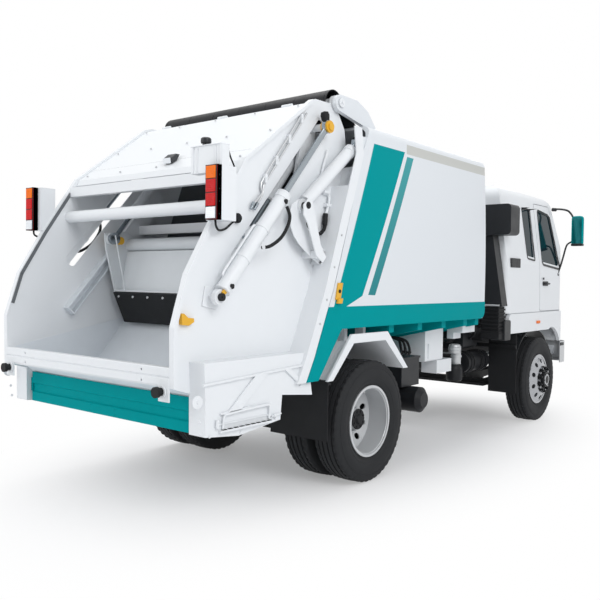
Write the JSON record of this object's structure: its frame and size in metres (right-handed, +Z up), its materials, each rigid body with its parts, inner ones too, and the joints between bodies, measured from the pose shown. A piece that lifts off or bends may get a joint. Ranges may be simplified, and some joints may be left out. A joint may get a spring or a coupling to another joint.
{
  "type": "garbage truck",
  "caption": "Rear-loading compactor garbage truck: tilting cab, hollow refuse body with pusher, and a lifting tailgate with hopper, sliding packer carriage and sweeping blade.",
  "frame": {"origin": "on the ground, in the middle of the vehicle's length and width", "axes": "+X forward, +Y to the left, +Z up"},
  "size_m": [6.92, 2.81, 3.206],
  "materials": {
    "white_paint": "gloss",
    "teal_paint": "gloss",
    "black_paint": "satin",
    "hopper_steel": "satin",
    "silver_paint": "satin",
    "polished_wheel": "polished",
    "bright_rod": "polished",
    "castings": "satin",
    "tyre_rubber": "matte",
    "soft_rubber": "matte",
    "black_plastic": "matte",
    "window_glass": "gloss",
    "lamp_lens": "gloss",
    "clear_lens": "gloss",
    "seat_cloth": "matte",
    "dark_plastic": "matte"
  },
  "bodies": {
    "chassis": {"chassis_frame": "black_paint", "front_axle": "castings", "rear_axle": "castings", "leaf_springs": "castings", "driveline": "castings", "engine": "castings", "fuel_tank": "silver_paint", "battery_box": "black_plastic", "air_tank": "black_paint", "oil_tank": "white_paint", "oil_filter": "silver_paint", "silencer": "black_paint", "air_cleaner": "black_plastic", "body_shell": "white_paint", "body_skirt": "teal_paint", "subframe": "teal_paint", "rear_mudguards": "white_paint", "mud_flaps": "soft_rubber", "rain_hood": "black_paint", "front_bumper": "silver_paint", "headlamps": "clear_lens"},
    "tailgate": {"tailgate_frame": "white_paint", "hopper_floor": "hopper_steel", "tailgate_cover": "white_paint", "guide_rails": "hopper_steel", "rear_bumper": "teal_paint", "buffers": "soft_rubber", "rear_lamps": "lamp_lens", "packing_barrels": "white_paint"},
    "carriage": {"packer_carriage": "white_paint", "packing_rods": "bright_rod"},
    "blade": {"sweep_blade": "white_paint", "blade_rubber": "soft_rubber"},
    "sweep_barrels": {"sweep_barrels": "white_paint"},
    "sweep_rods": {"sweep_rods": "bright_rod"},
    "lift_barrels": {"lift_barrels": "white_paint"},
    "lift_rods": {"lift_rods": "bright_rod"},
    "pusher": {"pusher": "hopper_steel"},
    "knuckle_left": {"knuckle_left": "castings"},
    "knuckle_right": {"knuckle_right": "castings"},
    "tie_rod": {"tie_rod": "castings"},
    "front_wheel_left": {"front_wheel_left": "polished_wheel", "front_tyre_left": "tyre_rubber"},
    "front_wheel_right": {"front_wheel_right": "polished_wheel", "front_tyre_right": "tyre_rubber"},
    "rear_wheels_left": {"rear_wheels_left": "silver_paint", "rear_tyres_left": "tyre_rubber"},
    "rear_wheels_right": {"rear_wheels_right": "silver_paint", "rear_tyres_right": "tyre_rubber"},
    "cab": {"cab_shell": "white_paint", "cab_glass": "window_glass", "dashboard": "dark_plastic", "seats": "seat_cloth", "air_intake": "black_plastic"},
    "door_left": {"door_left": "white_paint", "door_glass_left": "window_glass", "mirror_left": "black_plastic"},
    "door_right": {"door_right": "white_paint", "door_glass_right": "window_glass", "mirror_right": "black_plastic"}
  },
  "joints": [
    {"name": "tailgate_hinge", "type": "hinge", "parent": "chassis", "child": "tailgate", "pos_m": [-1.69, 0, 3.09], "axis": [0, 1, 0], "range_deg": [0, 80]},
    {"name": "lift_barrel_pivot", "type": "hinge", "parent": "tailgate", "child": "lift_barrels", "pos_m": [-2.21, 0, 2.228], "axis": [0, 1, 0], "range_deg": [-11.4, 0]},
    {"name": "lift_rod_slide", "type": "slide", "parent": "lift_barrels", "child": "lift_rods", "axis": [0.7792, 0, 0.6267], "range_m": [0, 0.4]},
    {"name": "carriage_slide", "type": "slide", "parent": "tailgate", "child": "carriage", "axis": [-0.6633, 0, -0.7484], "range_m": [0, 0.66]},
    {"name": "blade_pivot", "type": "hinge", "parent": "carriage", "child": "blade", "pos_m": [-2.29, 0, 1.97], "axis": [0, 1, 0], "range_deg": [0, 80]},
    {"name": "sweep_barrel_pivot", "type": "hinge", "parent": "carriage", "child": "sweep_barrels", "pos_m": [-1.95882, 0, 2.66688], "axis": [0, 1, 0], "range_deg": [-6.4, 0]},
    {"name": "sweep_rod_slide", "type": "slide", "parent": "sweep_barrels", "child": "sweep_rods", "axis": [0.6428, 0, 0.766], "range_m": [0, 0.276]},
    {"name": "pusher_slide", "type": "slide", "parent": "chassis", "child": "pusher", "axis": [-1, 0, 0], "range_m": [0, 1.9]},
    {"name": "cab_tilt", "type": "hinge", "parent": "chassis", "child": "cab", "pos_m": [3.22, 0, 1.015], "axis": [0, 1, 0], "range_deg": [0, 45]},
    {"name": "door_left_hinge", "type": "hinge", "parent": "cab", "child": "door_left", "pos_m": [3.096, 1.14, 1.99], "axis": [0, 0, -1], "range_deg": [0, 65]},
    {"name": "door_right_hinge", "type": "hinge", "parent": "cab", "child": "door_right", "pos_m": [3.096, -1.14, 1.99], "axis": [0, 0, 1], "range_deg": [0, 65]},
    {"name": "steering_left", "type": "hinge", "parent": "chassis", "child": "knuckle_left", "pos_m": [2.31, 0.88, 0.509], "axis": [0, 0, 1], "range_deg": [-35, 35]},
    {"name": "steering_right", "type": "hinge", "parent": "chassis", "child": "knuckle_right", "pos_m": [2.31, -0.88, 0.509], "axis": [0, 0, 1], "range_deg": [-35, 35]},
    {"name": "tie_rod_slide", "type": "slide", "parent": "chassis", "child": "tie_rod", "axis": [0, 1, 0], "range_m": [-0.11, 0.11]},
    {"name": "front_wheel_left_spin", "type": "hinge", "parent": "knuckle_left", "child": "front_wheel_left", "pos_m": [2.31, 1.065, 0.509], "axis": [0, 1, 0], "continuous": true},
    {"name": "front_wheel_right_spin", "type": "hinge", "parent": "knuckle_right", "child": "front_wheel_right", "pos_m": [2.31, -1.065, 0.509], "axis": [0, 1, 0], "continuous": true},
    {"name": "rear_wheels_left_spin", "type": "hinge", "parent": "chassis", "child": "rear_wheels_left", "pos_m": [-1.34, 0.87, 0.509], "axis": [0, 1, 0], "continuous": true},
    {"name": "rear_wheels_right_spin", "type": "hinge", "parent": "chassis", "child": "rear_wheels_right", "pos_m": [-1.34, -0.87, 0.509], "axis": [0, 1, 0], "continuous": true}
  ],
  "couplings": [
    {"joint": "lift_barrel_pivot", "follows": "tailgate_hinge", "ratio": -0.13592},
    {"joint": "lift_rod_slide", "follows": "tailgate_hinge", "m_per_rad": 0.28476},
    {"joint": "sweep_barrel_pivot", "follows": "blade_pivot", "ratio": -0.0732},
    {"joint": "sweep_rod_slide", "follows": "blade_pivot", "m_per_rad": 0.19598},
    {"joint": "steering_right", "follows": "steering_left", "ratio": 1},
    {"joint": "tie_rod_slide", "follows": "steering_left", "m_per_rad": -0.1785}
  ]
}
